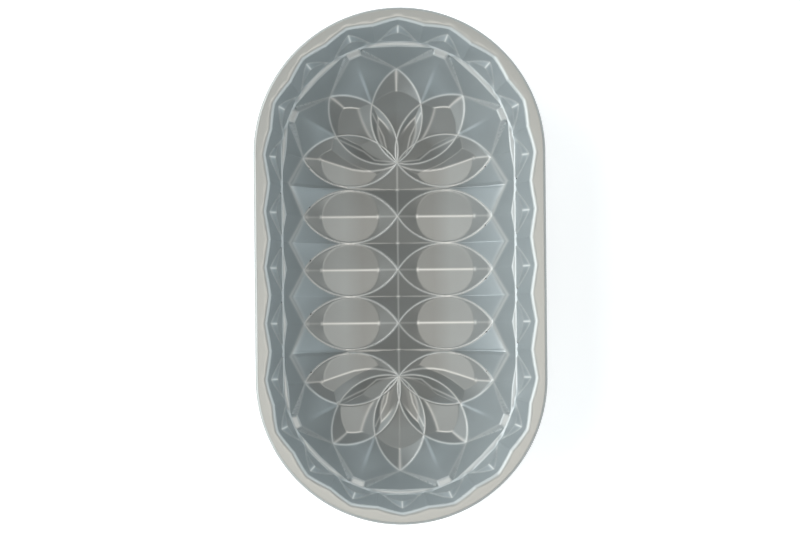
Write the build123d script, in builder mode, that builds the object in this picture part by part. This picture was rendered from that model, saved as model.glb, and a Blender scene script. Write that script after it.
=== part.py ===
from build123d import *
from math import asin, atan2, cos, degrees, hypot, radians, sin, sqrt
import os

# Fluted loaf pan with two round ends, cast in one piece and coated inside.
# The base rests on z = 0, the cavity opens upwards, and the long axis is Y.
# Plan radii are taken from the pan's spine: a straight line of the length
# `spine`, whose two ends are the centres of the round ends.

# Driving dimensions, mm
pitch = 30.5                # from one petal row to the next, and one flute to the next
rows = 4                    # pitches along the straight sides
flute_step = 45.0           # from one flute to the next round an end, degrees
scallop_step = 22.5         # and from one corner of the mouth to the next
height = 59.0               # base to rim top
rim_radius = 79.0           # outer edge of the rim
rim_thick = 4.5
rim_break = 1.6             # broken edges of the rim
bead = 1.4                  # sloped edge between the rim top and the zigzag wall
foot_inset = 6.0            # sloped edge of the base outside
foot_rise = 5.0
wall = 3.5                  # casting wall
coat = 0.3                  # lining thickness
base_thick = 4.0            # under the deepest valley of the floor

outer_corner = 72.3         # zigzag mouth: its corners outwards, below the bead
inner_corner = 69.7         # and its corners inwards
ring_radius = 65.3          # foot of the zigzag band, where the ledge starts
ring_depth = 28.0           # below the rim top
ledge_lip = 1.0             # least width of the ledge, in the middle of a flute

gem_radius = 68.1           # peak of the three-faced boss under each outward corner
gem_depth = 11.0
gem_back_depth = 3.5        # its ridge, where it meets the corner
gem_half = 11.5             # half the width of a boss at the ledge

tip_radius = 53.9           # petal tips, at the foot of the wall
tip_depth = 51.0
tip_ledge = 62.8            # wall between two flutes at the ledge, above a tip
flute_ledge = 66.3          # wall in the middle of a flute at the ledge

petal_radius = 32.1         # arc of the petal outlines
ridge_height = 3.9          # of the petal outlines above the valleys
ridge_slope = 0.42          # rise over run of the ridge flanks
ridge_flats = 6             # straight lengths that make one arc
row_slope = 0.12            # fall of the floor towards the middle line of a row petal

row_knee_radius = 59.1      # a row flute's facet, where it turns steep
row_knee_depth = 46.0
row_peak_depth = 37.0       # top of that facet against the wall
shelf_radius = 61.2         # front edge of an end flute's shelf
shelf_half = 4.3            # half the width of that shelf
heel_slope = 0.45           # rise over run of the floor up to the petal tips

fan_tilt = 3.5              # outermost petals of a fan, turned towards the end, degrees
fan_petals = 5              # petals in the half circle of each end
cut_over = 1.0              # how far a cutter overlaps what it joins

# Worked out from the sizes above
spine = pitch * rows
half_spine = spine / 2
ledge_z = height - ring_depth
tip_z = height - tip_depth
valley_z = base_thick
end_flutes = int(180 / flute_step)
end_corners = int(180 / scallop_step)
wall_lean = (tip_ledge - tip_radius) / (ledge_z - tip_z)
band_rise = ring_depth - bead
band_lean = (inner_corner - ring_radius) / band_rise
first_station = -rows / 2
half_turn = rows + end_corners


def spine_point(radius, station, z=None):
    """A point at the plan radius: stations count pitches along a side, then steps round an end.

    Station 0 is the middle of the +X side. The count goes on round the +Y end,
    down the -X side and back round the -Y end.
    """
    turn = (station - first_station) % (2 * half_turn)
    side = 1
    if turn >= half_turn:
        turn -= half_turn
        side = -1
    if turn <= rows:
        x, y = radius, turn * pitch - half_spine
    else:
        angle = radians((turn - rows) * scallop_step)
        x, y = radius * cos(angle), half_spine + radius * sin(angle)
    point = (side * x, side * y)
    return point if z is None else (*point, z)


def mouth_corners():
    """Stations of the outward corners of the mouth, in order round the pan."""
    return [first_station + place for place in range(2 * half_turn)]


def facet(points, push=0.0, upwards=True):
    """A plane through three points, its normal turned upwards or else outwards, moved along it."""
    first, second, third = (Vector(*point) for point in points)
    normal = (second - first).cross(third - first).normalized()
    spine_y = max(-half_spine, min(half_spine, first.Y))
    facing = normal.Z if upwards else normal.dot(Vector(first.X, first.Y - spine_y, 0))
    if facing < 0:
        normal = -normal
    return Plane(origin=first + normal * push, z_dir=normal)


def sector(first, last, low, high, cuts):
    """A block between two stations, from inside the petal tips to the rim edge, behind every cut."""
    corners = [
        spine_point(petal_radius, first),
        spine_point(rim_radius, first),
        spine_point(rim_radius, last),
        spine_point(petal_radius, last),
    ]
    with BuildPart() as block:
        with BuildSketch(Plane.XY.offset(low)):
            with BuildLine():
                Polyline(*corners, close=True)
            make_face()
        extrude(amount=high - low)
        for plane in cuts:
            split(bisect_by=plane, keep=Keep.BOTTOM)
    return block.part


def slot_cone(radius, low, high, lean):
    """A solid with the plan of the rim, its plan radius growing by `lean` for each millimetre up."""
    with BuildPart() as cone:
        with BuildSketch(Plane.XY.offset(low)):
            SlotCenterToCenter(spine, 2 * radius, rotation=90)
        extrude(amount=high - low, taper=-degrees(atan2(lean, 1)))
    return cone.part


def fold(station, grow):
    """One corner of the zigzag band: two steep faces that meet in a line down from it."""
    corner = spine_point(outer_corner + grow, station, height - bead)
    sides = []
    for turn in (-0.5, 0.5):
        end = spine_point(inner_corner + grow, station + turn, height - bead)
        ledge = spine_point(ring_radius + grow, station + turn, ledge_z)
        sides.append(facet((corner, end, ledge), upwards=False))
    return sector(station - 0.5, station + 0.5, ledge_z - grow, height - bead, sides)


def gem(station, grow):
    """The boss under one outward corner: two faces that fall from a ridge, and a steep one in front."""
    peak = beside(station, gem_radius, 0, height - gem_depth)
    back = beside(station, outer_corner, 0, height - gem_back_depth)
    ends = [beside(station, ring_radius, turn * gem_half, ledge_z) for turn in (-1, 1)]
    planes = [facet((peak, back, end), -grow) for end in ends]
    planes.append(facet((peak, *ends), -grow))
    return wedge(station, ring_radius - cut_over, pitch / 2, planes, height - bead)


def flared_corner(station, grow):
    """The bead beside one corner of the mouth: two faces that widen it up to the rim top."""
    corner = spine_point(outer_corner + grow, station, height - bead)
    top = spine_point(outer_corner + grow + bead, station, height)
    ends = [spine_point(inner_corner + grow, station + turn, height - bead) for turn in (-0.5, 0.5)]
    sides = [facet((corner, top, end), upwards=False) for end in ends]
    return sector(station - 0.5, station + 0.5, height - bead, height + cut_over, sides)


def mouth(grow):
    """The band from the ledge up to the zigzag mouth, grown outwards by `grow`."""
    with BuildPart() as band:
        add(slot_cone(ring_radius + grow - grow * band_lean, ledge_z - grow, height - bead, band_lean))
        add([fold(station, grow) for station in mouth_corners()])
    return band.part


def bead_flare(grow):
    """The sloped edge between the band and the rim top."""
    with BuildPart() as flare:
        add(slot_cone(inner_corner + grow, height - bead, height + cut_over, 1))
        add([flared_corner(station, grow) for station in mouth_corners()])
    return flare.part


def flutes():
    """First and last station of every flute: a corner above each petal tip, one outwards between."""
    wide = end_corners / end_flutes
    for start in (first_station, first_station + half_turn):
        for place in range(rows):
            yield start + place, start + place + 1
        for place in range(end_flutes):
            yield start + rows + place * wide, start + rows + (place + 1) * wide


def fluted(low, high, tip_low, tip_high):
    """A fluted solid between two levels, with its plan radius above the petal tips at each of them."""
    deeper = flute_ledge - tip_ledge
    lean = (tip_high - tip_low) / (high - low)
    with BuildPart() as well:
        add(slot_cone(tip_low - cut_over, low, high, lean))
        for first, last in flutes():
            middle = (first + last) / 2
            for tip in (first, last):
                upper = spine_point(tip_high, tip, high)
                lower = spine_point(tip_low, tip, low)
                side = facet((upper, lower, spine_point(tip_high + deeper, middle, high)), upwards=False)
                add(sector(min(tip, middle), max(tip, middle), low, high, [side]))
    return well.part


def bowl(grow, floor):
    """The fluted bowl from `floor` up to the ledge, grown outwards by `grow`."""
    top = ledge_z - grow
    radius = tip_ledge + grow - grow * wall_lean
    with BuildPart() as well:
        add(fluted(floor, top, radius - (top - floor) * wall_lean, radius))
        with BuildSketch(Plane.XY.offset(floor)):
            SlotCenterToCenter(spine, 2 * (ring_radius - ledge_lip + grow), rotation=90)
        extrude(amount=top - floor, mode=Mode.INTERSECT)
    return well.part


def foot():
    """The lowest part of the outside: the flat base with its sloped edge."""
    edge = tip_ledge + wall - (ledge_z - foot_rise) * wall_lean
    return fluted(0, foot_rise, edge - foot_inset, edge)


def beside(station, radius, aside, z):
    """A point `aside` of a station's radial line, on the way round the pan, at the plan radius."""
    x, y = spine_point(radius, station)
    inner_x, inner_y = spine_point(radius - 1, station)
    return (x - (y - inner_y) * aside, y + (x - inner_x) * aside, z)


def wedge(station, inner, half, planes, top=ledge_z):
    """A block across a station's radial line, from radius `inner` outwards, below every plane."""
    corners = [(inner, -half), (rim_radius, -half), (rim_radius, half), (inner, half)]
    with BuildPart() as block:
        with BuildSketch():
            with BuildLine():
                Polyline(*[beside(station, radius, aside, 0)[:2] for radius, aside in corners], close=True)
            make_face()
        extrude(amount=top)
        for plane in planes:
            split(bisect_by=plane, keep=Keep.BOTTOM)
    return block.part


def row_flute(station, grow):
    """The facets at the foot of a flute on a straight side."""
    tips = [beside(station, tip_radius, aside * pitch / 2, tip_z) for aside in (-1, 1)]
    knee = beside(station, row_knee_radius, 0, height - row_knee_depth)
    peak_radius = flute_ledge - (ledge_z - height + row_peak_depth) * wall_lean
    peak = beside(station, peak_radius, 0, height - row_peak_depth)
    heel = beside(station, tip_radius - 1, 0, tip_z - heel_slope)
    faces = [(*tips, knee), (*tips, heel), (tips[0], knee, peak), (tips[1], knee, peak)]
    return [wedge(station, petal_radius, pitch / 2, [facet(face, -grow)]) for face in faces]


def end_flute(station, grow):
    """The buttress of a flute in a round end, with its level shelf at the ledge."""
    step = end_corners / end_flutes / 2
    tips = [spine_point(tip_radius, station + turn, tip_z) for turn in (-step, step)]
    front = [beside(station, shelf_radius, aside, ledge_z) for aside in (-shelf_half, shelf_half)]
    back = [beside(station, ring_radius, aside, ledge_z) for aside in (-shelf_half, shelf_half)]
    chord = tip_radius * cos(radians(flute_step / 2))
    half = tip_radius * sin(radians(flute_step / 2))
    heel = beside(station, chord - 1, 0, tip_z - heel_slope)
    faces = [(*tips, front[0]), (tips[0], front[0], back[0]), (tips[1], front[1], back[1])]
    planes = [facet(face, -grow) for face in faces]
    planes.append(Plane.XY.offset(ledge_z - grow))
    return [
        wedge(station, chord - half, half, planes),
        wedge(station, chord - half, half, [facet((*tips, heel), -grow)]),
    ]


def upright(centre, turn):
    """The upright plane through a point in plan, its x axis pointing at the angle `turn`."""
    angle = radians(turn)
    return Plane(origin=centre, x_dir=(cos(angle), sin(angle), 0), z_dir=(sin(angle), -cos(angle), 0))


def ridge(base, direction, side, grow):
    """One raised outline of a petal: straight lengths of triangular section along an arc of the petal."""
    half_chord = tip_radius / 2
    half_span = degrees(asin(half_chord / petal_radius))
    inwards = sqrt(petal_radius**2 - half_chord**2)
    heading = radians(direction)
    centre = (
        base[0] + half_chord * cos(heading) + side * inwards * sin(heading),
        base[1] + half_chord * sin(heading) - side * inwards * cos(heading),
        0,
    )
    foot = valley_z - cut_over
    crest = valley_z + ridge_height - grow * hypot(1, ridge_slope)
    reach = (crest - foot) / ridge_slope
    step = 2 * half_span / ridge_flats
    middle = petal_radius * cos(radians(step / 2))
    section = [(middle - reach, foot), (middle, crest), (middle + reach, foot)]
    lengths = []
    for flat in range(ridge_flats):
        turn = direction + 90 * side - half_span + (flat + 0.5) * step
        with BuildPart() as length:
            with BuildSketch(upright(centre, turn)):
                with BuildLine():
                    Polyline(*section, close=True)
                make_face()
            extrude(amount=petal_radius, both=True)
            split(bisect_by=upright(centre, turn - step / 2), keep=Keep.BOTTOM)
            split(bisect_by=upright(centre, turn + step / 2), keep=Keep.TOP)
        lengths.append(length.part)
    return lengths


def petals():
    """Base and direction of every petal of the floor."""
    inner_rows = [row * pitch - half_spine for row in range(1, rows)]
    found = [((0, y), direction) for y in inner_rows for direction in (0, 180)]
    for end in (1, -1):
        for petal in range(fan_petals):
            direction = petal * 180 / (fan_petals - 1)
            if petal == 0:
                direction += fan_tilt
            if petal == fan_petals - 1:
                direction -= fan_tilt
            found.append(((0, end * half_spine), end * direction))
    return found


def row_floor(grow):
    """The floor between the fans, folded to a valley along the middle line of each row petal."""
    crest = valley_z + row_slope * pitch / 2 - grow
    valley = valley_z - grow
    folds = []
    for row in range(rows):
        y = row * pitch - half_spine
        folds += [(y, valley), (y + pitch / 2, crest)]
    folds += [(half_spine, valley), (half_spine, 0), (-half_spine, 0)]
    with BuildPart() as floor:
        with BuildSketch(Plane.YZ.offset(-tip_radius)):
            with BuildLine():
                Polyline(*folds, close=True)
            make_face()
        extrude(amount=2 * tip_radius)
    return floor.part


def inside(grow):
    """The whole inside of the pan, with every face moved outwards by `grow`."""
    blocks = [row_floor(grow)] + [gem(station, grow) for station in mouth_corners()]
    for first, last in flutes():
        buttress = row_flute if last - first == 1 else end_flute
        blocks += buttress((first + last) / 2, grow)
    with BuildPart() as cavity:
        add(mouth(grow))
        add(bead_flare(grow))
        add(bowl(grow, valley_z - grow))
        add(blocks, mode=Mode.SUBTRACT)
        for base, direction in petals():
            for side in (1, -1):
                add(ridge(base, direction, side, grow), mode=Mode.SUBTRACT)
    return cavity.part


os.makedirs("parts", exist_ok=True)
coated = inside(0)
cast = inside(coat)

# The casting: rim, fluted wall and base in one piece
with BuildPart() as casting:
    with BuildSketch(Plane.XY.offset(height - rim_thick)):
        SlotCenterToCenter(spine, 2 * rim_radius, rotation=90)
    extrude(amount=rim_thick - coat)
    chamfer(casting.edges().filter_by(Plane.XY), length=rim_break)
    add(mouth(wall).split(Plane.XY.offset(height - rim_thick / 2), keep=Keep.BOTTOM))
    add(bowl(wall, foot_rise))
    add(foot())
    add(cast, mode=Mode.SUBTRACT)

# The lining: the coat on the whole inside and on the flat top of the rim
with BuildPart() as lining:
    add(cast)
    split(bisect_by=Plane.XY.offset(height - coat), keep=Keep.BOTTOM)
    with BuildSketch(Plane.XY.offset(height - coat)):
        SlotCenterToCenter(spine, 2 * (rim_radius - rim_break), rotation=90)
    extrude(amount=coat)
    add(coated, mode=Mode.SUBTRACT)

for name, piece in (("pan_casting", casting), ("nonstick_lining", lining)):
    piece.part.label = name
    export_step(piece.part, f"parts/{name}.step")
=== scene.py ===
import math
import bmesh
import bpy
import numpy as np
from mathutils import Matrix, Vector


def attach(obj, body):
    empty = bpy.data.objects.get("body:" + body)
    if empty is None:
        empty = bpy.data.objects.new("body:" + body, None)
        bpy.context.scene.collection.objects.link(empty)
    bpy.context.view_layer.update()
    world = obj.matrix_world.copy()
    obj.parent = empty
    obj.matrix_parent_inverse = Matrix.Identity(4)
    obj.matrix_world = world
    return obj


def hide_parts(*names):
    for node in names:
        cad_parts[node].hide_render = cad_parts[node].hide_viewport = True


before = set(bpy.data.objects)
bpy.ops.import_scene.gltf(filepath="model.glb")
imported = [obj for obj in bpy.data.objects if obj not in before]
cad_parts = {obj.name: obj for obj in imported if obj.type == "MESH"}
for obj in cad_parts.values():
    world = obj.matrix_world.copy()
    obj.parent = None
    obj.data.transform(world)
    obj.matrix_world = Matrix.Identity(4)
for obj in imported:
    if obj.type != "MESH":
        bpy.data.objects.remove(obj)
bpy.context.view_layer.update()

# The non-stick coat on the inside of the pan and over its rim. A silver-grey coat is baked on the
# cast and blasted aluminium. Its colour carries painted light: a painted highlight on every line of
# the relief, painted shade towards the middle of the floor, and a warmer grey on the rim's lit top.
# It is one skin, made here as four rings that meet: two of floor, one of wall, one of band and rim.

# Lengths are in millimetres until they go into a mesh. Plan radii are taken from the pan's spine,
# the straight line between the centres of the round ends. One formula gives the clearance over the
# coat, which lies where that vanishes. A quarter of the pan is worked out, and mirrored.

PITCH = 30.5                    # from one petal row to the next
HALF_SPINE = 61.0
RIM_TOP = 59.0                  # levels over the base
LEDGE = 31.0
TIP_LEVEL = 8.0
VALLEY = 4.0
RING = 65.3                     # plan radius of the foot of the band, where the ledge starts
LIP = 1.0                       # least width of the ledge
TIP = 53.9                      # plan radius of the petal tips
TIP_AT_LEDGE = 62.8             # and of the wall at the ledge, over a tip and between two tips
FLUTE_AT_LEDGE = 65.6
WALL_LEAN = (TIP_AT_LEDGE - TIP) / (LEDGE - TIP_LEVEL)
STEP = math.radians(22.5)       # from one corner of the mouth to the next, round an end
END_TILT = math.radians(3.3)    # where the flutes of the rows give way to those of the end
FAR_OFF = 99.0                  # a height or distance past anything in the pan


def soft_low(a, b, k):
    """The lower of two heights, blended over a difference of k."""
    part = np.clip(0.5 + 0.5 * (b - a) / k, 0, 1)
    return b * (1 - part) + a * part - k * part * (1 - part)


def soft_high(a, b, k):
    """The higher of two heights, blended over a difference of k."""
    return -soft_low(-a, -b, k)


def peak(distance, width):
    """A bump of height 1 where the distance vanishes, which has faded out past the width."""
    return np.exp(-((distance / width) ** 2))


def polar(x, y):
    """Plan radius, angle round the end, and station: pitches along, then steps round the end."""
    past = np.maximum(y - HALF_SPINE, 0)
    radius = np.hypot(x, past)
    angle = np.where(y > HALF_SPINE, np.arctan2(past, np.maximum(x, 1e-9)), 0)
    station = np.where(y > HALF_SPINE, 2 + angle / STEP, y / PITCH)
    return radius, angle, station


OUTER_CORNER = 72.3             # plan radii of the zigzag mouth's corners
INNER_CORNER = 69.7
OUTER_ROUNDING = (0.012, 0.04)  # of those corners: spread, and what it takes off
INNER_ROUNDING = (0.03, 0.06)
BEAD_LEVEL = 57.6
BEAD_ROUNDING = 0.6
BAND_LEAN = (INNER_CORNER - RING) / (BEAD_LEVEL - LEDGE)
BAND_SHARE = 0.98               # of a level distance that is square to the band
GEM_PEAK = (67.4, 46.0)         # plan radius and level of a boss's peak, and of the back end
GEM_BACK = (70.9, 50.0)         # of its ridge
GEM_HALF = 11.5                 # half the width of a boss at the ledge
RIDGE_SLOPE = (GEM_BACK[1] - GEM_PEAK[1]) / (GEM_BACK[0] - GEM_PEAK[0])
GEM_FALL = (GEM_PEAK[1] - RIDGE_SLOPE * (GEM_PEAK[0] - RING) - LEDGE) / GEM_HALF
GEM_ARCH = 1.35                 # how far its sides bow out: 1 is straight
FRONT_LEAN = (GEM_PEAK[0] - RING) / (GEM_PEAK[1] - LEDGE)
BOSS_BLEND = 0.25               # rounding of a boss's edges, and where it meets the band
BAND_BLEND = 0.3


def mouth_radius(station):
    """Zigzag of the mouth under its bead, with its corners a little rounded."""
    aside = np.abs(2 * (station - np.round(station)))
    outwards = np.sqrt(aside**2 + OUTER_ROUNDING[0]) - OUTER_ROUNDING[1]
    inwards = np.sqrt((1 - aside) ** 2 + INNER_ROUNDING[0]) - INNER_ROUNDING[1]
    return INNER_CORNER + (OUTER_CORNER - INNER_CORNER) * np.minimum(1 - outwards, inwards)


def band_faces(x, y, z):
    """Clearance from the zigzag wall, and from the nearest boss: its ridge faces and its front."""
    radius, _, station = polar(x, y)
    wall = mouth_radius(station) - BAND_LEAN * (BEAD_LEVEL - np.maximum(z, LEDGE))
    over_bead = z - BEAD_LEVEL
    wall += 0.5 * (over_bead + np.sqrt(over_bead**2 + BEAD_ROUNDING))
    nearest = np.round(station)
    past = (nearest > 2) | ((nearest == 2) & (y > HALF_SPINE))
    turn = np.where(past, (station - nearest) * STEP, 0)
    aside = np.where(past, radius * np.abs(np.sin(turn)), np.abs(y - nearest * PITCH))
    along = radius * np.cos(turn)
    ridge = GEM_PEAK[1] + RIDGE_SLOPE * (along - GEM_PEAK[0])
    fall = GEM_FALL * GEM_HALF * (aside / GEM_HALF) ** GEM_ARCH
    over = (z - ridge + fall) / math.hypot(1, RIDGE_SLOPE, GEM_FALL)
    front = (RING + FRONT_LEAN * (z - LEDGE) - along) / math.hypot(1, FRONT_LEAN)
    return (wall - radius) * BAND_SHARE, over, front, aside, along


def band_clearance(x, y, z):
    """Clearance inside the zigzag band, outside the three-faced bosses that stand on it."""
    wall, over, front, _, _ = band_faces(x, y, z)
    return soft_low(wall, soft_high(over, front, BOSS_BLEND), BAND_BLEND)


ROW_KNEE = (58.25, 15.5)        # plan radius and level of a row buttress's knee, and of its peak
ROW_PEAK = (61.8, 20.8)
ROW_RISE = (ROW_PEAK[1] - ROW_KNEE[1]) / (ROW_PEAK[0] - ROW_KNEE[0])
ROW_FALL = (ROW_KNEE[1] - ROW_RISE * (ROW_KNEE[0] - TIP) - TIP_LEVEL) / (PITCH / 2)
SHELF = 61.2                    # front edge of an end buttress's shelf, and half its width
SHELF_HALF = 3.6
LAST_MIDDLE = 49.0              # along the pan: the middle of the last row flute, and its end
LAST_TIP = 64.2
END_REACH = 1.062               # the end flutes' wall: its share of a tip's radius in its middle,
END_FALL = 0.361                # and how fast it comes in from there
ROW_STRETCH = 1.09              # level distance over the distance square to the flute walls
END_STRETCH = 1.13
NO_FRONT = -9.0                 # clearance of the front that a row buttress doesn't have
FRONT_FAR = -5.0                # a front with less clearance than this is none
BUTTRESS_BLEND = 0.4            # rounding of the buttresses, of the flutes' corners,
FLUTE_BLEND = 0.5
LIP_BLEND = 0.4                 # of the lip, and of the ledge's edge
LEDGE_BLEND = 0.5


def flute_faces(x, y, z):
    """Clearance from the nearest flute's wall, its buttress front and its buttress sides."""
    radius, angle, _ = polar(x, y)
    tip = TIP_AT_LEDGE + (z - LEDGE) * WALL_LEAN
    last_reach = np.where(y < LAST_MIDDLE, LAST_MIDDLE - PITCH, LAST_TIP - LAST_MIDDLE)
    last_aside = np.minimum(np.abs(y - LAST_MIDDLE) / last_reach, 1) * PITCH / 2
    aside = np.where(y < PITCH, np.abs(y - PITCH / 2), last_aside)
    row_depth = (FLUTE_AT_LEDGE - TIP_AT_LEDGE) * (1 - 2 * aside / PITCH)
    row_wall = (tip + row_depth - x) / ROW_STRETCH
    row_side = z - ROW_KNEE[1] - ROW_RISE * (x - ROW_KNEE[0]) + ROW_FALL * aside
    row_side = row_side / math.hypot(1, ROW_RISE, ROW_FALL)
    middle = np.where(angle < 2 * STEP, STEP, 3 * STEP)
    turn = angle - middle
    turn = np.where(angle < STEP, turn * STEP / (STEP - END_TILT), turn)
    along = radius * np.cos(turn)
    end_aside = radius * np.abs(np.sin(turn))
    end_wall = (END_REACH * tip - END_FALL * end_aside - along) / END_STRETCH
    chord = TIP * math.cos(STEP)
    half = TIP * math.sin(STEP)
    front_slope = (LEDGE - TIP_LEVEL) / (SHELF - chord)
    front = (z - TIP_LEVEL - front_slope * (along - chord)) / math.hypot(1, front_slope)
    side_slope = (LEDGE - TIP_LEVEL) / (half - SHELF_HALF)
    side = (z - TIP_LEVEL - side_slope * (half - end_aside)) / math.hypot(1, side_slope)
    end = angle > END_TILT
    wall = np.where(end, end_wall, row_wall)
    return wall, np.where(end, front, NO_FRONT), np.where(end, side, row_side)


def flute_clearance(x, y, z):
    """Clearance from the flutes below the ledge, and from the lip of the ledge over them."""
    wall, front, side = flute_faces(x, y, z)
    flutes = soft_low(wall, soft_high(front, side, BUTTRESS_BLEND), FLUTE_BLEND)
    lip = RING - LIP - polar(x, y)[0]
    return soft_high(soft_low(flutes, lip, LIP_BLEND), z - LEDGE, LEDGE_BLEND)


PETAL_RADIUS = 32.1             # arcs of the fan petals, and of the row petals
HALF_CHORD = TIP / 2
ARC_CENTRE = math.sqrt(PETAL_RADIUS**2 - HALF_CHORD**2)
ROW_RADIUS = 31.65
ROW_CENTRE = math.sqrt(ROW_RADIUS**2 - HALF_CHORD**2)
FLANK = 0.15                    # slope down from a row petal's outline
LINE_BLEND = 0.25
EDGE_BLEND = 0.15
BEAD_HEIGHT = 0.18
BEAD_WIDTH = 0.5
DISC_TOP = 1.65                 # the low roof in a petal, which shows as a round disc
DISC_FALL = 0.045
DISC_ENDS = (11.2, 43.9)        # the dots that end its middle line
CREST_MIDDLE = 1.05             # a petal outline's height over the valley, and its rise to the tips
CREST_RISE = 3.15
CREST_CURVE = 2.6
STAR_RISE = (0.039, 0.275)      # slopes outwards and across: of the star between four petals,
KITE_RISE = (0.15, 0.205)       # and of the kite behind it
KITE_START = 27.7
KITE_BLEND = 4.0
KITE_CLIMB = 0.95               # its extra slope to the wall, which starts a little off the outline
KITE_OFFSET = 0.6
LAST_DOT = 44.1                 # the last petal's ridge: its outer dot, and its bent line in plan
LAST_RIDGE = ((0, 2.4, 7.5, 13.2, 19.0, 25.3, 33.0, LAST_DOT, TIP),
              (0, -2.2, -4.1, -5.2, -5.4, -4.9, -3.0, 0, 0))
LAST_FALL = 0.12


def bead(distance):
    """The thin raised line cast along every petal outline, by distance from it."""
    return BEAD_HEIGHT * peak(distance, BEAD_WIDTH)


def between_rows(x, aside):
    """Height between two petal rows: the star at the middle of the pan and the kite behind it."""
    star = STAR_RISE[0] * x + STAR_RISE[1] * aside
    kite = CREST_MIDDLE + KITE_RISE[1] * aside + KITE_RISE[0] * np.maximum(KITE_START - x, 0)
    return soft_low(star, kite, LINE_BLEND)


def row_arc(x, aside):
    """Distance inside the outline of a row petal."""
    return ROW_RADIUS - np.hypot(x - HALF_CHORD, aside + ROW_CENTRE)


def row_faces(x, aside):
    """Heights of a row petal: the flank that falls from its outline, and the roof in its middle."""
    inside = row_arc(x, aside)
    from_middle = np.abs(x - HALF_CHORD) * ROW_RADIUS / (ROW_RADIUS - inside) / HALF_CHORD
    crest = CREST_MIDDLE + CREST_RISE * from_middle**CREST_CURVE
    return VALLEY + crest - FLANK * inside, VALLEY + DISC_TOP - DISC_FALL * aside


def kite_climb(x, inside):
    """Extra rise of the kite towards the wall, by distance outside a row petal's outline."""
    outside = np.maximum(-inside - KITE_OFFSET, 0)
    return KITE_CLIMB * outside * np.clip((x - KITE_START) / KITE_BLEND, 0, 1)


def petal_row(x, aside):
    """Height of a row petal and of half the gap beside it, by distance from its middle line."""
    inside = row_arc(x, aside)
    flank, disc = row_faces(x, aside)
    gap = VALLEY + between_rows(x, np.maximum(PITCH / 2 - aside, 0)) + kite_climb(x, inside)
    return np.where(inside > 0, soft_high(flank, disc, EDGE_BLEND), gap) + bead(inside)


def fan_arc(x, y, heading, side):
    """Distance inside one arc of a fan petal, and how far along it: 0 midway, 1 at an end."""
    cx = HALF_CHORD * math.cos(heading) + side * ARC_CENTRE * math.sin(heading)
    cy = HALF_SPINE + HALF_CHORD * math.sin(heading) - side * ARC_CENTRE * math.cos(heading)
    out = np.hypot(x - cx, y - cy)
    turn = np.arctan2(y - cy, x - cx) - heading - side * math.pi / 2
    turn = np.abs((turn + math.pi) % (2 * math.pi) - math.pi) / math.asin(HALF_CHORD / PETAL_RADIUS)
    return PETAL_RADIUS - out, turn


# Arcs of the fan: heading in degrees, side, rise of the middle, falls to its inside and outside
FAN = ((3.5, 1, 2.2, 0.30, 0.075), (45, -1, 2.6, 0.30, 0.30), (45, 1, 2.8, 0.37, 0.15),
       (90, -1, 2.8, 0.32, 0.235), (135, -1, 2.8, 0.32, 0.15), (90, 1, 2.8, 0.32, 0.235))
FAN_END_RISE = 4.2
# Creases of the fan: two arcs, whether the crease lies inside both, and how bright its painted
# highlight is
FAN_CREASES = ((1, 2, True, 0.85), (3, 5, True, 0.85), (2, 0, False, 0.85), (3, 0, False, 0.5))
# Bent lines in the narrow lenses where petals overlap, from the centre of the round end
LENS_LINES = (((13.9, 28.6), (7.6, 15.1), (5.2, 4.3), (0, 0)),
              ((35.6, 14.8), (19.1, 7.0), (12.8, 1.8), (0, 0)))
FAN_BASE = VALLEY - 1.5         # lower than every face of the fan
PAST_END = 40.0                 # how steeply a face ends past the ends of its arc
SLOPE_RISE = 1.05               # rise over run of the slope behind the fan, where along an arc it
SLOPE_REACH = 1.05              # ends, how its parts blend, and the level that it stops at
SLOPE_BLEND = 1.8
SLOPE_TOP = 25.0
TOP_BLEND = 2.0
LINE_END = 1.02                 # where the raised line on an arc has faded out, and over how much
LINE_FADE = 0.04
ROOF_REACH = -16                # across the outermost petal, the end of its roof
OUTERMOST = math.radians(FAN[0][0])


def fan_crest(arc, turn):
    """Height of the line on an arc of the fan, which rises from its middle to its ends."""
    return VALLEY + arc[2] + (FAN_END_RISE - arc[2]) * np.clip(turn, 0, 1) ** 2


def fan_faces(x, y):
    """The face that falls from each arc of the fan, with the distance inside it and along it."""
    faces, insides, turns = [], [], []
    for arc in FAN:
        heading, side, _, fall, outer_fall = arc
        inside, turn = fan_arc(x, y, math.radians(heading), side)
        gone = PAST_END * np.maximum(turn - 1, 0)
        fallen = np.where(inside > 0, fall * inside, -outer_fall * inside)
        faces.append(fan_crest(arc, turn) - fallen - gone)
        insides.append(inside)
        turns.append(turn)
    return faces, insides, turns


def on_arc(turn):
    """1 along an arc of the fan, which fades out just past its ends."""
    return np.clip((LINE_END - turn) / LINE_FADE, 0, 1)


def upright_petals(insides):
    """Distance inside the middle petal of the fan or the one beside it, whichever is more."""
    return np.maximum(np.minimum(insides[1], insides[2]), np.minimum(insides[3], insides[5]))


def outermost(x, y):
    """Place along and across the outermost petal of the fan, the one beside the rows."""
    across = (y - HALF_SPINE) * math.cos(OUTERMOST) - x * math.sin(OUTERMOST)
    along = x * math.cos(OUTERMOST) + (y - HALF_SPINE) * math.sin(OUTERMOST)
    return along, across


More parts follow.
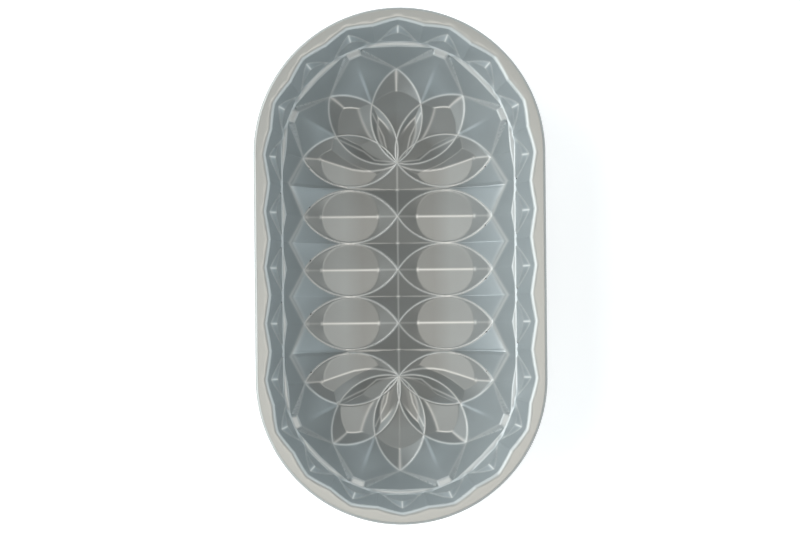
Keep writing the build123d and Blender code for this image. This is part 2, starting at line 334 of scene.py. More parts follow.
def fan_height(x, y):
    """Height of the fan: the highest of its faces in the petals, and the slope up behind them."""
    faces, insides, turns = fan_faces(x, y)
    along, across = outermost(x, y)
    petals = np.full_like(x, FAN_BASE)
    slope = np.full_like(x, FAR_OFF)
    for face, inside, turn, arc in zip(faces, insides, turns, FAN):
        petals = soft_high(petals, face, EDGE_BLEND)
        gone = PAST_END * np.maximum(turn - SLOPE_REACH, 0)
        behind = fan_crest(arc, turn) + SLOPE_RISE * np.abs(inside) + gone
        slope = soft_low(slope, behind, SLOPE_BLEND)
    lines = np.zeros_like(x)
    for inside, turn in zip(insides, turns):
        lines = np.maximum(lines, bead(inside) * on_arc(turn))
    covered = np.maximum(upright_petals(insides), insides[0])
    from_ridge = across - np.interp(along, *LAST_RIDGE)
    roof = VALLEY + DISC_TOP + np.where(from_ridge > 0, -LAST_FALL, DISC_FALL) * from_ridge
    alone = (insides[0] > 0) & (insides[1] < 0) & (across > ROOF_REACH)
    petals = np.where(alone, soft_high(petals, roof, EDGE_BLEND), petals)
    return np.where(covered > 0, petals, soft_low(slope, SLOPE_TOP, TOP_BLEND)) + lines


def floor_height(x, y):
    """Height of the floor: petal rows and stars between the fans, and the fan at the end."""
    row = np.clip(np.round(y / PITCH), -1, 1)
    rows = petal_row(x, np.abs(y - row * PITCH))
    along, across = outermost(x, y)
    fan = fan_height(x, y)
    flank, _ = row_faces(along, np.abs(across))
    last = soft_high(flank, fan, EDGE_BLEND) + bead(row_arc(along, np.abs(across)))
    from_row = np.abs(y - PITCH)
    from_last = np.maximum(-across, 0)
    in_row = row_arc(x, from_row)
    in_last = row_arc(along, from_last)
    gap = np.maximum(between_rows(x, np.maximum(PITCH / 2 - from_row, 0)),
                     between_rows(along, np.maximum(PITCH / 2 - from_last, 0)))
    climb = np.minimum(kite_climb(x, in_row), kite_climb(along, in_last))
    gap += VALLEY + climb + bead(in_row) + bead(in_last)
    beside = np.where(in_row > 0, petal_row(x, from_row), np.where(in_last > 0, last, gap))
    return np.where(y < PITCH, rows, np.where(across > 0, fan, beside))


FLOOR_STRETCH = 1.08            # upright distance over the distance square to the floor
FLOOR_BLEND = (0.5, 3.4)        # into the wall: everywhere, and more between the end's tips
JOIN_BLEND = 0.4                # between wall and band, and between band and rim
RIM_BLEND = 1.0


def clearance(x, y, z):
    """Distance over the coat, near enough: the nearest of band, flutes, floor and rim."""
    floor = (z - floor_height(x, y)) / FLOOR_STRETCH
    _, angle, _ = polar(x, y)
    gap = np.where(y > HALF_SPINE, np.abs(np.sin(4 * angle)), 0)
    low = soft_low(flute_clearance(x, y, z), floor, FLOOR_BLEND[0] + FLOOR_BLEND[1] * gap)
    inside = soft_low(low, band_clearance(x, y, z), JOIN_BLEND)
    return soft_high(inside, z - RIM_TOP, RIM_BLEND)


# Painted highlights: pale lines painted along the relief's ridges, creases and edges, for the light
# their rounded crests catch. Their widths and strengths follow.
LINE_WIDTH = 0.46
RIDGE_WIDTH = 0.45
THIN_WIDTH = 0.5
SMALL_DOT = 0.8
DOT_WIDTH = 0.9
OUTLINE_HIGHLIGHT = 0.85             # 0 is none and 1 is the full painted highlight
FAN_HIGHLIGHT = 0.8
LENS_HIGHLIGHT = 0.6
MIDDLE_HIGHLIGHT = (0.85, 0.3)       # along a row petal's middle: between its dots, and past them
MIDDLE_END = 55
DOT_HIGHLIGHT = 0.95
SPINE_HIGHLIGHT = (0.45, 0.8)        # along the middle of the pan, and on its dots
GAP_HIGHLIGHT = 0.28                 # on the crosswise line between two rows, which ends at the kites
GAP_ENDS = (12, 36)
ROW_CREASE = (0.6, 0.45)        # how bright a painted highlight and how wide: the creases beside a row's buttress,
END_CREASE = (0.5, 0.65)        # beside an end's buttress and round its front,
SHELF_CREASE = (0.4, 0.75)
FOOT_CREASE = (0.3, 0.5)        # and at the foot of a row's buttress,
RING_LINE = (0.9, 0.5)          # the ring at the foot of the band, and the lip of the ledge,
LIP_LINE = (0.55, 0.35)
RIDGE_LINE = (0.9, 0.5)         # the ridge of a boss, its edge on the band, its front edges,
BOSS_EDGE = (0.45, 0.4)
FRONT_EDGE = (0.24, 0.35)
MOUTH_LINE = (0.45, 1.1)        # and the edge of the mouth


def highlight_by(distance, line):
    """Strength of the painted highlight near a line or crease, by distance from it."""
    return line[0] * peak(distance, line[1])


def from_path(x, y, path):
    """Distance from a path of straight lines."""
    near = np.full_like(x, FAR_OFF)
    for (x0, y0), (x1, y1) in zip(path[:-1], path[1:]):
        share = (x - x0) * (x1 - x0) + (y - y0) * (y1 - y0)
        share = np.clip(share / ((x1 - x0) ** 2 + (y1 - y0) ** 2), 0, 1)
        near = np.minimum(near, np.hypot(x - x0 - share * (x1 - x0), y - y0 - share * (y1 - y0)))
    return near


def row_highlights(x, y):
    """Painted highlights on the petal rows: outlines, middle lines, and the dots that end these."""
    along, across = outermost(x, y)
    row = np.clip(np.round(y / PITCH), -1, 1)
    last = (y > 1.5 * PITCH) & (y < HALF_SPINE + 8)
    in_rows = (y < 1.5 * PITCH) | (across < 0)
    px = np.where(last, along, x)
    aside = np.where(last, np.abs(across), np.abs(y - row * PITCH))
    painted_highlight = OUTLINE_HIGHLIGHT * peak(row_arc(px, aside), LINE_WIDTH) * in_rows
    middle = np.clip((px - DISC_ENDS[0]) / 1.5 + 0.5, 0, 1)
    middle = middle * np.clip((DISC_ENDS[1] - px) / 1.5 + 0.5, 0, 1)
    middle = np.maximum(MIDDLE_HIGHLIGHT[0] * middle,
                        MIDDLE_HIGHLIGHT[1] * np.clip((MIDDLE_END - px) / 2, 0, 1))
    painted_highlight = np.maximum(painted_highlight, middle * peak(aside, THIN_WIDTH) * (in_rows & ~last))
    for end in DISC_ENDS:
        dot = peak(np.hypot(px - end, aside), DOT_WIDTH)
        painted_highlight = np.maximum(painted_highlight, DOT_HIGHLIGHT * dot * (in_rows & ~last))
    return painted_highlight


def fan_highlights(x, y):
    """Painted highlights on the fan: its arcs, the creases between faces, the last petal's ridge
    and dot.
    """
    along, across = outermost(x, y)
    faces, insides, turns = fan_faces(x, y)
    top = np.max(faces, axis=0)
    painted_highlight = np.zeros_like(x)
    for inside, turn in zip(insides, turns):
        painted_highlight = np.maximum(painted_highlight, FAN_HIGHLIGHT * peak(inside, LINE_WIDTH) * on_arc(turn))
    in_fan = upright_petals(insides) > 0
    for one, two, both_inside, strength in FAN_CREASES:
        here = (insides[one] > 0) & (insides[two] > 0) if both_inside else (insides[two] < 0)
        near = peak(faces[one] - faces[two], 0.2)
        near = near * peak(top - np.maximum(faces[one], faces[two]), 0.2)
        painted_highlight = np.maximum(painted_highlight, strength * near * (here & in_fan))
    for path in LENS_LINES:
        painted_highlight = np.maximum(painted_highlight, LENS_HIGHLIGHT * peak(from_path(x, y - HALF_SPINE, path), LINE_WIDTH))
    in_last = (insides[1] < 0) & (along > 1.5) & (along < TIP)
    ridge = peak(across - np.interp(along, *LAST_RIDGE), RIDGE_WIDTH)
    painted_highlight = np.maximum(painted_highlight, OUTLINE_HIGHLIGHT * ridge * in_last)
    return np.maximum(painted_highlight, DOT_HIGHLIGHT * peak(np.hypot(along - LAST_DOT, across), SMALL_DOT))


def middle_highlights(x, y):
    """Painted highlights on the pan's middle line, its dots, and the crosswise lines between rows.
    """
    painted_highlight = SPINE_HIGHLIGHT[0] * peak(x, THIN_WIDTH) * (y < HALF_SPINE)
    for dot in (0.5 * PITCH, 1.5 * PITCH):
        painted_highlight = np.maximum(painted_highlight, SPINE_HIGHLIGHT[1] * peak(np.hypot(x, y - dot), DOT_WIDTH))
    from_gap = np.abs(y - (np.floor(np.minimum(y / PITCH, 1)) + 0.5) * PITCH)
    reach = np.clip(x / GAP_ENDS[0], 0, 1) * np.clip((GAP_ENDS[1] - x) / 9, 0, 1)
    return np.maximum(painted_highlight, GAP_HIGHLIGHT * peak(from_gap, RIDGE_WIDTH) * reach * (y < 2 * PITCH))


def wall_highlights(x, y, z):
    """Painted highlights on the creases between the wall's faces, and along the ledge's ring and
    lip.
    """
    wall, front, side = flute_faces(x, y, z)
    buttress = np.maximum(front, side)
    beside = wall - buttress
    creases = np.where(front < FRONT_FAR, highlight_by(beside, ROW_CREASE), highlight_by(beside, END_CREASE))
    creases = np.maximum(creases, highlight_by(front - side, SHELF_CREASE) * (beside > -0.2))
    over_floor = (z - floor_height(x, y)) / FLOOR_STRETCH
    radius, angle, _ = polar(x, y)
    creases = np.maximum(creases, highlight_by(side - over_floor, FOOT_CREASE) * (angle <= END_TILT))
    painted_highlight = creases * (z < LEDGE - 0.1) * (x + y > 40) * (z > TIP_LEVEL - 0.5)
    ring = highlight_by(radius - RING + 0.25 * LIP, RING_LINE) * peak(z - LEDGE, RIDGE_WIDTH)
    lip = highlight_by(z - LEDGE + 0.35, LIP_LINE) * (radius < RING - 0.7)
    return np.maximum(painted_highlight, np.maximum(ring, lip))


def band_highlights(x, y, z):
    """Painted highlights on the bosses' ridges and edges, and on the edge of the mouth."""
    radius, _, station = polar(x, y)
    wall, over, front, aside, along = band_faces(x, y, z)
    ridge = highlight_by(aside, RIDGE_LINE) * peak(over, 0.35)
    ridge = ridge * (along > GEM_PEAK[0] - 0.3) * (z < GEM_BACK[1] + 1)
    edge = highlight_by(wall - np.maximum(over, front), BOSS_EDGE) + highlight_by(over - front, FRONT_EDGE)
    mouth = highlight_by(radius - mouth_radius(station) - 0.4, MOUTH_LINE) * (z > BEAD_LEVEL - 0.4)
    return np.maximum(ridge, np.maximum(edge, mouth)) * (z > LEDGE + 0.5)


def highlight_lines(x, y, z):
    """Strength of the painted highlight, 0 to 1, on the floor, the wall and the band."""
    floor = np.maximum(row_highlights(x, y), np.maximum(fan_highlights(x, y), middle_highlights(x, y)))
    floor = floor * (z < floor_height(x, y) + 0.6)
    return np.clip(np.maximum(floor, np.maximum(wall_highlights(x, y, z), band_highlights(x, y, z))), 0, 1)


# Painted shade: the floor is painted darker and warmer towards the middle, where the deep floor
# gets least light.
SHADE_ENDS = (20.0, 46.0)      # plan radii between which the painted shade fades
PETAL_SHADE = 0.6               # how much painted shade the petals get at the least


def painted_shade(x, y):
    """How much painted shade the floor gets, 0 to 1: all along the middle, less in the petals
    further out, and not at all at the wall."""
    row = np.clip(np.round(y / PITCH), -1, 1)
    along, across = outermost(x, y)
    _, insides, _ = fan_faces(x, y)
    in_row = row_arc(x, np.abs(y - row * PITCH))
    petal = np.maximum(in_row, row_arc(along, np.maximum(-across, 0)))
    end = np.maximum(upright_petals(insides), np.minimum(insides[0], across))
    end = np.maximum(end, np.where(across < 0, petal, -1))
    inside = np.where(y < 1.5 * PITCH, petal, end)
    middle = (SHADE_ENDS[1] - polar(x, y)[0]) / (SHADE_ENDS[1] - SHADE_ENDS[0])
    return np.clip(np.maximum(middle, np.clip(0.5 + inside, 0, PETAL_SHADE)), 0, 1)


LOW_EYE = 45.0                  # levels on the spine that the rays leave from
HIGH_EYE = 80.0
RAY_REACH = 130.0
HALVINGS = 22
SIDE_COLUMNS = 118
END_COLUMNS = 164
NORMAL_STEP = 0.1
ON_COAT = 0.01


def quarter_columns():
    """Spine point and heading of each column of the quarter: along the side, then round the end."""
    along = np.linspace(0, HALF_SPINE, SIDE_COLUMNS, endpoint=False)
    turn = np.linspace(0, math.pi / 2, END_COLUMNS + 1)
    start = np.concatenate([along, np.full(turn.size, HALF_SPINE)])
    heading = np.concatenate([np.zeros(along.size), turn])
    return start, heading


def cast_rays(eyes, radii, levels):
    """Points of the coat: each row's rays leave the spine line at its eye height towards a radius
    and level of its own, and bisection finds where they meet the coat."""
    start, heading = quarter_columns()
    shape = (eyes.shape[0], start.size)
    eyes, radii, levels = (np.broadcast_to(v, shape) for v in (eyes, radii, levels))
    length = np.hypot(radii, levels - eyes)
    out, down = radii / length, (eyes - levels) / length
    near = np.zeros(out.shape)
    far = np.full(out.shape, RAY_REACH)
    for _ in range(HALVINGS):
        middle = (near + far) / 2
        x = middle * out * np.cos(heading)
        y = start + middle * out * np.sin(heading)
        clear = clearance(np.abs(x), y, eyes - middle * down) > 0
        near = np.where(clear, middle, near)
        far = np.where(clear, far, middle)
    reach = (near + far) / 2
    x = reach * out * np.cos(heading)
    y = start + reach * out * np.sin(heading)
    return np.stack([x, y, eyes - reach * down], axis=-1)


def coat_normals(points):
    """Directions straight out of the coat at points on it, and (0, 0, 0) for points off it."""
    x, y, z = np.abs(points[:, 0]), np.abs(points[:, 1]), points[:, 2]
    step = NORMAL_STEP
    slope = [clearance(x + step, y, z) - clearance(np.abs(x - step), y, z),
             clearance(x, y + step, z) - clearance(x, np.abs(y - step), z),
             clearance(x, y, z + step) - clearance(x, y, z - step)]
    signs = np.sign(points[:, 0]), np.sign(points[:, 1])
    normal = np.stack([slope[0] * signs[0], slope[1] * signs[1], slope[2]], axis=-1)
    normal /= np.linalg.norm(normal, axis=-1, keepdims=True)
    return np.where((np.abs(clearance(x, y, z)) < ON_COAT)[:, None], normal, 0)


def whole_loop(quarter):
    """Rows of the quarter mirrored to the whole loop round the pan, without doubled columns."""
    back = quarter[:, -2::-1] * np.array([-1, 1, 1])
    half = np.concatenate([quarter, back], axis=1)
    other = half[:, -2:0:-1] * np.array([1, -1, 1])
    return np.concatenate([half, other], axis=1)


def towards_spine(row, share):
    """A row drawn in towards the spine line by a share of its distance from it."""
    nearest = np.clip(row[:, 1], -HALF_SPINE, HALF_SPINE)
    centre = np.stack([0 * row[:, 0], nearest, row[:, 2]], axis=-1)
    return row + (centre - row) * share


def levelled(rows, level):
    """Rows moved to one height, with their shape in plan kept."""
    return rows * [1, 1, 0] + [0, 0, level]


def ring_piece(name, rows, material):
    """A closed mesh of quads through closed rows of points round the pan, last row joined to the
    first, with the coat's own directions, and its painted highlight and painted shade as
    attributes."""
    count, around = rows.shape[:2]
    index = np.arange(count * around).reshape(count, around)
    upper = np.roll(index, -1, axis=0)
    corners = [index, np.roll(index, -1, 1), np.roll(upper, -1, 1), upper]
    quads = np.stack(corners, axis=-1).reshape(-1, 4)
    mesh = bpy.data.meshes.new(name)
    mesh.from_pydata((rows.reshape(-1, 3) * 0.001).tolist(), [], quads.tolist())
    whole = bmesh.new()
    whole.from_mesh(mesh)
    bmesh.ops.remove_doubles(whole, verts=whole.verts, dist=1e-7)
    bmesh.ops.recalc_face_normals(whole, faces=whole.faces)
    whole.to_mesh(mesh)
    whole.free()
    mesh.validate()
    mesh.shade_smooth()
    mesh.materials.append(material)
    points = np.empty(len(mesh.vertices) * 3)
    mesh.vertices.foreach_get("co", points)
    points = points.reshape(-1, 3) * 1000
    x, y, z = np.abs(points[:, 0]), np.abs(points[:, 1]), points[:, 2]
    for label, values in (("painted_highlight", highlight_lines(x, y, z)), ("painted_shade", painted_shade(x, y))):
        mesh.attributes.new(label, "FLOAT", "POINT").data.foreach_set("value", values)
    mesh.normals_split_custom_set_from_vertices(coat_normals(points).tolist())
    piece = bpy.data.objects.new(name, mesh)
    bpy.context.scene.collection.objects.link(piece)
    return piece


def linear(code):
    """Linear colour of an sRGB hex value."""
    shares = [int(code[place:place + 2], 16) / 255 for place in (1, 3, 5)]
    return [v / 12.92 if v < 0.04045 else ((v + 0.055) / 1.055) ** 2.4 for v in shares] + [1]


def add(tree, kind, settings=(), links=()):
    """A new node of a kind, with its settings made and its inputs linked or set."""
    node = tree.nodes.new(kind)
    for name, value in dict(settings).items():
        setattr(node, name, value)
    for name, value in dict(links).items():
        if hasattr(value, "is_output"):
            tree.links.new(value, node.inputs[name])
        else:
            node.inputs[name].default_value = value
    return node


def mixed(tree, share, first, second):
    """Colour between two colours, by a share. Inputs 6 and 7 of the node are its two colours."""
    links = {0: share, 6: first, 7: second}
    return add(tree, "ShaderNodeMix", {"data_type": "RGBA"}, links).outputs[2]


def noise(tree, place, size, detail):
    """Noise whose pattern is a size in millimetres across."""
    scale = 1000 / size
    node = add(tree, "ShaderNodeTexNoise", {}, {"Vector": place, "Scale": scale, "Detail": detail})
    return node.outputs["Fac"]


def spread(tree, value, ends):
    """A value from 0 to 1 spread between two ends."""
    links = {"Value": value, "To Min": ends[0], "To Max": ends[1]}
    return add(tree, "ShaderNodeMapRange", {}, links).outputs["Result"]


COAT_GREY = "#A9AFB0"           # the coat at the wall, in the painted shade of the floor, and in the painted warm light on the rim
COAT_IN_PAINTED_SHADE = "#8B8C89"
RIM_PAINTED_LIGHT = "#AAA9A4"
RIM_BEGINS = (0.0578, 0.0588)   # levels in metres, between which the inside's colour gives way to the rim's painted warm light
# pale silver of the painted highlights along the relief's lines
HIGHLIGHT_SILVER = "#E6E5E1"
GRAIN = 0.35                    # sizes of the patterns, in millimetres
MOTTLE = 22.0
CLOUDS = (-0.15, 0.15)          # what the random mottling adds to the painted shade's share
COAT_ROUGHNESS = (0.30, 0.40)


def baked_nonstick_coat():
    """Baked silver-grey non-stick coat on blasted aluminium: a satin skin that shows the fine grain
    of the blasting, with faint warm mottling, painted shade towards the middle of the floor, a
    warmer grey painted on the rim's lit top, and a painted highlight along every line of the
    relief."""
    coat = bpy.data.materials.new("baked_nonstick_coat")
    coat.use_nodes = True
    tree = coat.node_tree
    shader = tree.nodes["Principled BSDF"]
    shader.inputs["Metallic"].default_value = 0.35
    place = add(tree, "ShaderNodeTexCoord").outputs["Object"]
    grain = noise(tree, place, GRAIN, 2.0)
    cloudy = spread(tree, noise(tree, place, MOTTLE, 3.0), CLOUDS)
    # painted shade: the floor's colour darkens by the painted-shade share, with random mottling
    shade_share = add(tree, "ShaderNodeAttribute", {"attribute_name": "painted_shade"}).outputs["Fac"]
    shade_and_mottle = add(tree, "ShaderNodeMath", {"operation": "ADD", "use_clamp": True},
                {0: shade_share, 1: cloudy}).outputs[0]
    inside = mixed(tree, shade_and_mottle, linear(COAT_GREY), linear(COAT_IN_PAINTED_SHADE))
    # painted light: the rim's flat top is painted a warmer grey, the tone of the warm light it
    # reflects
    height = add(tree, "ShaderNodeSeparateXYZ", {}, {0: place}).outputs["Z"]
    on_rim = add(tree, "ShaderNodeMapRange", {}, {"Value": height, "From Min": RIM_BEGINS[0],
                                                  "From Max": RIM_BEGINS[1]}).outputs["Result"]
    rim_light_tone = mixed(tree, on_rim, inside, linear(RIM_PAINTED_LIGHT))
    # painted highlight: pale silver along every line of the relief
    painted_highlight = add(tree, "ShaderNodeAttribute", {"attribute_name": "painted_highlight"}).outputs["Fac"]
    tree.links.new(mixed(tree, painted_highlight, rim_light_tone, linear(HIGHLIGHT_SILVER)), shader.inputs["Base Color"])
    tree.links.new(spread(tree, grain, COAT_ROUGHNESS), shader.inputs["Roughness"])
    bump = add(tree, "ShaderNodeBump", {}, {"Height": grain, "Strength": 0.12, "Distance": 0.00005})
    tree.links.new(bump.outputs["Normal"], shader.inputs["Normal"])
    return coat


coat = baked_nonstick_coat()

FLOOR_SPLIT = 28.0              # plan radii that the rays of the four rings aim at
FLOOR_REACH = 54.0
WALL_REACH = 66.0
RIM_REACH = 77.4
FLOOR_ROWS = 72
WALL_ROWS = 74
BAND_ROWS = 74
FLOOR_BACK = 3.0                # level of the floor rings' underside
BACK_STEP = 7                   # rows of the skin to one row of its back
BACK_ENDS = 12                  # rows of the rim that have no back
BACK_SHARE = -0.012             # how far the back lies outside the skin, and below it
BACK_SHIFT = np.array([0, 0, 0.4])

inner_aims = np.linspace(0, FLOOR_SPLIT, FLOOR_ROWS)[:, None]
inner_rows = whole_loop(cast_rays(np.full_like(inner_aims, LOW_EYE), inner_aims, VALLEY))
inner_back = np.stack([levelled(inner_rows[-1], FLOOR_BACK),
                       levelled(towards_spine(inner_rows[-1], 1.0), FLOOR_BACK)])
inner_floor = ring_piece("coat_floor_middle", np.concatenate([inner_rows, inner_back]), coat)
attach(inner_floor, "root")
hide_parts("nonstick_lining")

outer_aims = np.linspace(FLOOR_SPLIT, FLOOR_REACH, FLOOR_ROWS)[:, None]
outer_rows = whole_loop(cast_rays(np.full_like(outer_aims, LOW_EYE), outer_aims, VALLEY))
outer_back = np.stack([levelled(outer_rows[-1], FLOOR_BACK), levelled(outer_rows[0], FLOOR_BACK)])
outer_floor = ring_piece("coat_floor_edge", np.concatenate([outer_rows, outer_back]), coat)
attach(outer_floor, "root")

low_dip = math.atan2(FLOOR_REACH, LOW_EYE - VALLEY)
high_dip = math.atan2(WALL_REACH, LOW_EYE - LEDGE)
dips = np.linspace(low_dip, high_dip, WALL_ROWS)[:, None]
wall_rows = whole_loop(cast_rays(np.full_like(dips, LOW_EYE), np.sin(dips), LOW_EYE - np.cos(dips)))
wall_back = np.stack([towards_spine(row, BACK_SHARE) - BACK_SHIFT
                      for row in wall_rows[::-BACK_STEP]])
wall_coat = ring_piece("coat_wall", np.concatenate([wall_rows, wall_back]), coat)
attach(wall_coat, "root")

share = np.linspace(0, 1, BAND_ROWS)[:, None]
band_rows = whole_loop(cast_rays(LOW_EYE + (HIGH_EYE - LOW_EYE) * share,
                                 WALL_REACH + (RIM_REACH - WALL_REACH) * share,
                                 LEDGE + (RIM_TOP - LEDGE) * share))
band_back = np.stack([band_rows[-1] - BACK_SHIFT]
                     + [towards_spine(row, BACK_SHARE) - BACK_SHIFT
                        for row in band_rows[-BACK_ENDS::-BACK_STEP]])
rim_coat = ring_piece("coat_band_and_rim", np.concatenate([band_rows, band_back]), coat)
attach(rim_coat, "root")

# The casting: rim, fluted wall and flat base of aluminium, poured in one piece and blasted to a
# fine satin skin. It shows at the rim's broken edge and on the whole outside, which follows the
# inside: a flat base with a sloped edge, the flutes, the zigzag band, and the rim's plain flange.

WALL = 3.5
RIM_EDGE = 79.0
RIM_THICK = 4.5
RIM_BREAK = 1.6
RIM_SEAT = 0.4                  # how far the casting reaches in under the coat on the rim
RIM_GAP = 0.02                  # how far its edge starts below the rim's top
BREAK_ROWS = 7
BAND_LEVELS = 8
FLUTE_LEVELS = 9
BAND_FOOT = 0.8                 # from the step under the band up to its lowest row
BAND_MOST = 0.2                 # least gap between the band and the rim's broken edge
FOOT_RISE = 5.0
FOOT_INSET = 6.0
FOOT_SHARES = (1.0, 0.98, 0.5, 0.0)     # rows of the flat base, as shares of its radius
FLOOR_DROP = 1.4                # the casting's inner skin lies below the coat's floor by this much,
WALL_DROP = 0.9                 # and below and outside the coat's wall and band
WALL_SHARE = -0.022
FLOOR_STEP = 9                  # rows of the coat to one row of that skin
WALL_STEP = 4


def polygon_radius(tips, middles):
    """Plan radius of the fluted bowl's section: straight between a corner over each tip and one
    between two tips."""
    start, heading = quarter_columns()
    beside = np.abs(start / PITCH - np.floor(np.minimum(start / PITCH, 1.999)) - 0.5) * 2
    side = middles + (tips - middles) * beside
    turn = heading / STEP
    step = np.minimum(np.floor(turn), 3)
    first = np.where(step % 2 == 0, tips, middles)
    last = np.where(step % 2 == 0, middles, tips)
    past = (turn - step) * STEP
    end = first * last * math.sin(STEP) / (first * np.sin(past) + last * np.sin(STEP - past))
    return np.where(start < HALF_SPINE, side, end)


def ring_row(radius, level):
    """One closed row at a plan radius, the same all round or one for each column, and a level."""
    start, heading = quarter_columns()
    x, y = radius * np.cos(heading), start + radius * np.sin(heading)
    return whole_loop(np.stack([x, y, np.full(start.size, level)], axis=-1)[None])[0]


def below_coat(rows):
    """Rows of the floor of the coat lowered to the casting's inner skin."""
    return rows - [0, 0, FLOOR_DROP]


def behind_coat(rows):
    """Rows of the wall or band of the coat moved out and down to the casting's inner skin."""
    return np.stack([towards_spine(row, WALL_SHARE) - [0, 0, WALL_DROP] for row in rows])


start, heading = quarter_columns()
station = np.where(heading > 0, 2 + heading / STEP, start / PITCH)
outside = [ring_row(RIM_EDGE - RIM_BREAK - RIM_SEAT, RIM_TOP - RIM_SEAT)]
for turn in np.linspace(0, math.pi / 2, BREAK_ROWS):
    outside.append(ring_row(RIM_EDGE - RIM_BREAK * (1 - math.sin(turn)),
                            RIM_TOP - RIM_GAP - RIM_BREAK * (1 - math.cos(turn))))
for turn in np.linspace(0, math.pi / 2, BREAK_ROWS):
    outside.append(ring_row(RIM_EDGE - RIM_BREAK * (1 - math.cos(turn)),
                            RIM_TOP - RIM_THICK + RIM_BREAK * (1 - math.sin(turn))))
for level in np.linspace(RIM_TOP - RIM_THICK, LEDGE - WALL + BAND_FOOT, BAND_LEVELS):
    band = mouth_radius(station) + WALL - BAND_LEAN * (BEAD_LEVEL - level)
    outside.append(ring_row(np.minimum(band, RIM_EDGE - RIM_BREAK - BAND_MOST), level))
step_in = RING - LIP + WALL
outside.append(ring_row(step_in, LEDGE - WALL))
for level in np.linspace(LEDGE - WALL, FOOT_RISE, FLUTE_LEVELS):
    back = (LEDGE - level) * WALL_LEAN - WALL
    bowl = polygon_radius(TIP_AT_LEDGE - back, FLUTE_AT_LEDGE - back)
    outside.append(ring_row(np.minimum(bowl, step_in), level))
back = (LEDGE - FOOT_RISE) * WALL_LEAN - WALL + FOOT_INSET
foot = polygon_radius(TIP_AT_LEDGE - back, FLUTE_AT_LEDGE - back)
for share in FOOT_SHARES:
    outside.append(ring_row(foot * share, 0.0))
inside = [below_coat(inner_rows[::FLOOR_STEP]), below_coat(outer_rows[::FLOOR_STEP]),
          below_coat(outer_rows[-1:]), behind_coat(wall_rows[2:-3:WALL_STEP]),
          behind_coat(band_rows[3:-BACK_ENDS:WALL_STEP])]

BARE_GREY = "#B9B9B5"
BARE_SHADE = "#A9AAA7"
BLAST = 0.5
BARE_ROUGHNESS = (0.42, 0.58)


def blasted_cast_aluminium():
    """Aluminium as cast and blasted: a pale grey satin metal, whose fine even pits lie half a
    millimetre apart."""
    metal = bpy.data.materials.new("blasted_cast_aluminium")
    metal.use_nodes = True
    tree = metal.node_tree
    shader = tree.nodes["Principled BSDF"]
    shader.inputs["Metallic"].default_value = 0.7
    place = add(tree, "ShaderNodeTexCoord").outputs["Object"]
    cloud = noise(tree, place, MOTTLE, 4.0)
    pits = noise(tree, place, BLAST, 2.0)
    colour = mixed(tree, cloud, linear(BARE_GREY), linear(BARE_SHADE))
    tree.links.new(colour, shader.inputs["Base Color"])
    tree.links.new(spread(tree, pits, BARE_ROUGHNESS), shader.inputs["Roughness"])
    bump = add(tree, "ShaderNodeBump", {}, {"Height": pits, "Strength": 0.3, "Distance": 0.0001})
    tree.links.new(bump.outputs["Normal"], shader.inputs["Normal"])
    return metal


metal = blasted_cast_aluminium()
casting = ring_piece("casting", np.concatenate([np.stack(outside)] + inside), metal)
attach(casting, "root")
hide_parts("pan_casting")

# The studio floor: a wide sheet of matt white paper that keeps the pan's soft shadow.

bpy.ops.mesh.primitive_plane_add(size=6, location=(0, 0, 0))
paper = bpy.context.object
paper.name = "studio_floor"


def white_paper():
    """Matt white paper, a little lifted for the camera so that it reads as a white backdrop."""
    white = bpy.data.materials.new("white_paper")
    white.use_nodes = True
    tree = white.node_tree
    shader = tree.nodes["Principled BSDF"]
    shader.inputs["Base Color"].default_value = (0.9, 0.9, 0.9, 1)
    shader.inputs["Specular IOR Level"].default_value = 0
    seen = add(tree, "ShaderNodeLightPath").outputs["Is Camera Ray"]
    glow = add(tree, "ShaderNodeEmission", {}, {"Color": seen, "Strength": 0.42})
    both = add(tree, "ShaderNodeAddShader", {}, {0: shader.outputs[0], 1: glow.outputs[0]})
    tree.links.new(both.outputs[0], tree.nodes["Material Output"].inputs["Surface"])
    return white


paper.data.materials.append(white_paper())

# The camera: straight above the pan and a little to the left of its middle and towards its near
# end, with the frame shifted so that the pan stands where the photograph has it.

DISTANCE = 0.890                # metres over the rim
CAMERA_PLACE = (-0.025, -0.036)
CAMERA_TURN = -0.55             # degrees
SENSOR = 36
WIDTH = 800                     # pixels
SHIFT = (45, 66.5)
RIM_PIXEL = 0.5405              # millimetres to one pixel at the rim

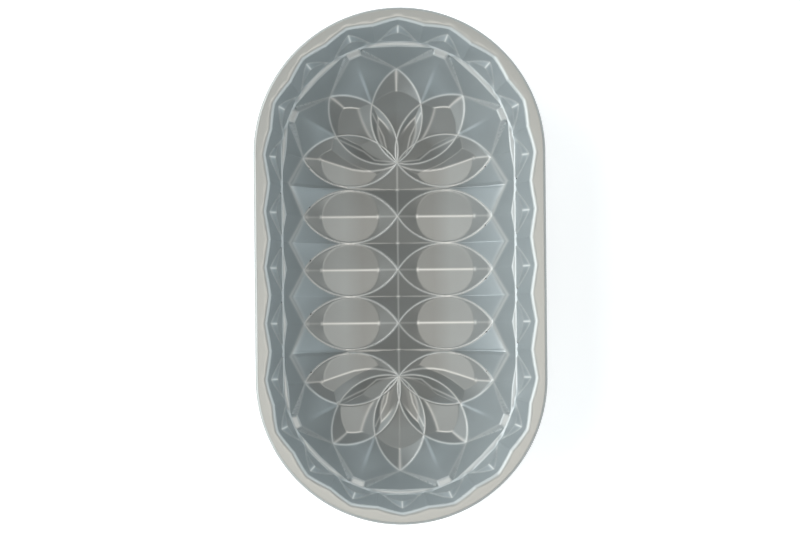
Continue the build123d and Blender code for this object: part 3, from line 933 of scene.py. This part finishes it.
camera_data = bpy.data.cameras.new("camera")
camera = bpy.data.objects.new("camera", camera_data)
bpy.context.scene.collection.objects.link(camera)
camera.location = (*CAMERA_PLACE, RIM_TOP * 0.001 + DISTANCE)
camera.rotation_euler = (0, 0, math.radians(CAMERA_TURN))
camera_data.sensor_width = SENSOR
camera_data.lens = SENSOR / WIDTH / RIM_PIXEL * DISTANCE * 1000
camera_data.shift_x = SHIFT[0] / WIDTH
camera_data.shift_y = SHIFT[1] / WIDTH
bpy.context.scene.camera = camera

# The light: a dim ceiling, a cool bright horizon, and two large soft lamps.

HORIZON = (0.40, (1.25, 1.41, 1.50, 1))     # place on the ramp from below to above, and colour
CEILING = (0.72, (0.10, 0.10, 0.10, 1))

world = bpy.data.worlds.new("studio")
bpy.context.scene.world = world
world.use_nodes = True
sky = world.node_tree
upwards = add(sky, "ShaderNodeTexCoord").outputs["Generated"]
height = add(sky, "ShaderNodeSeparateXYZ", {}, {0: upwards})
ramp = add(sky, "ShaderNodeValToRGB", {}, {0: height.outputs["Z"]})
low, high = ramp.color_ramp.elements
low.position, low.color = HORIZON
high.position, high.color = CEILING
sky.links.new(ramp.outputs[0], sky.nodes["Background"].inputs["Color"])
sky.nodes["Background"].inputs["Strength"].default_value = 1.0


def softbox(name, place, aim, size, power, colour):
    """A soft rectangular studio lamp at a place, facing the point it aims at."""
    lamp = bpy.data.lights.new(name, "AREA")
    lamp.shape = "RECTANGLE"
    lamp.size, lamp.size_y = size
    lamp.energy = power
    lamp.color = colour
    light = bpy.data.objects.new(name, lamp)
    bpy.context.scene.collection.objects.link(light)
    light.location = place
    light.rotation_euler = (Vector(aim) - Vector(place)).to_track_quat("-Z", "Y").to_euler()


softbox("overhead", (0.12, -0.09, 1.7), (0, 0, 0.03), (0.9, 0.68), 6.3, (1.0, 0.96, 0.91))
softbox("key", (-1.25, 0.15, 0.95), (0, 0, 0.03), (1.9, 1.5), 20, (0.95, 0.99, 1.0))

bpy.context.scene.view_settings.view_transform = "Standard"
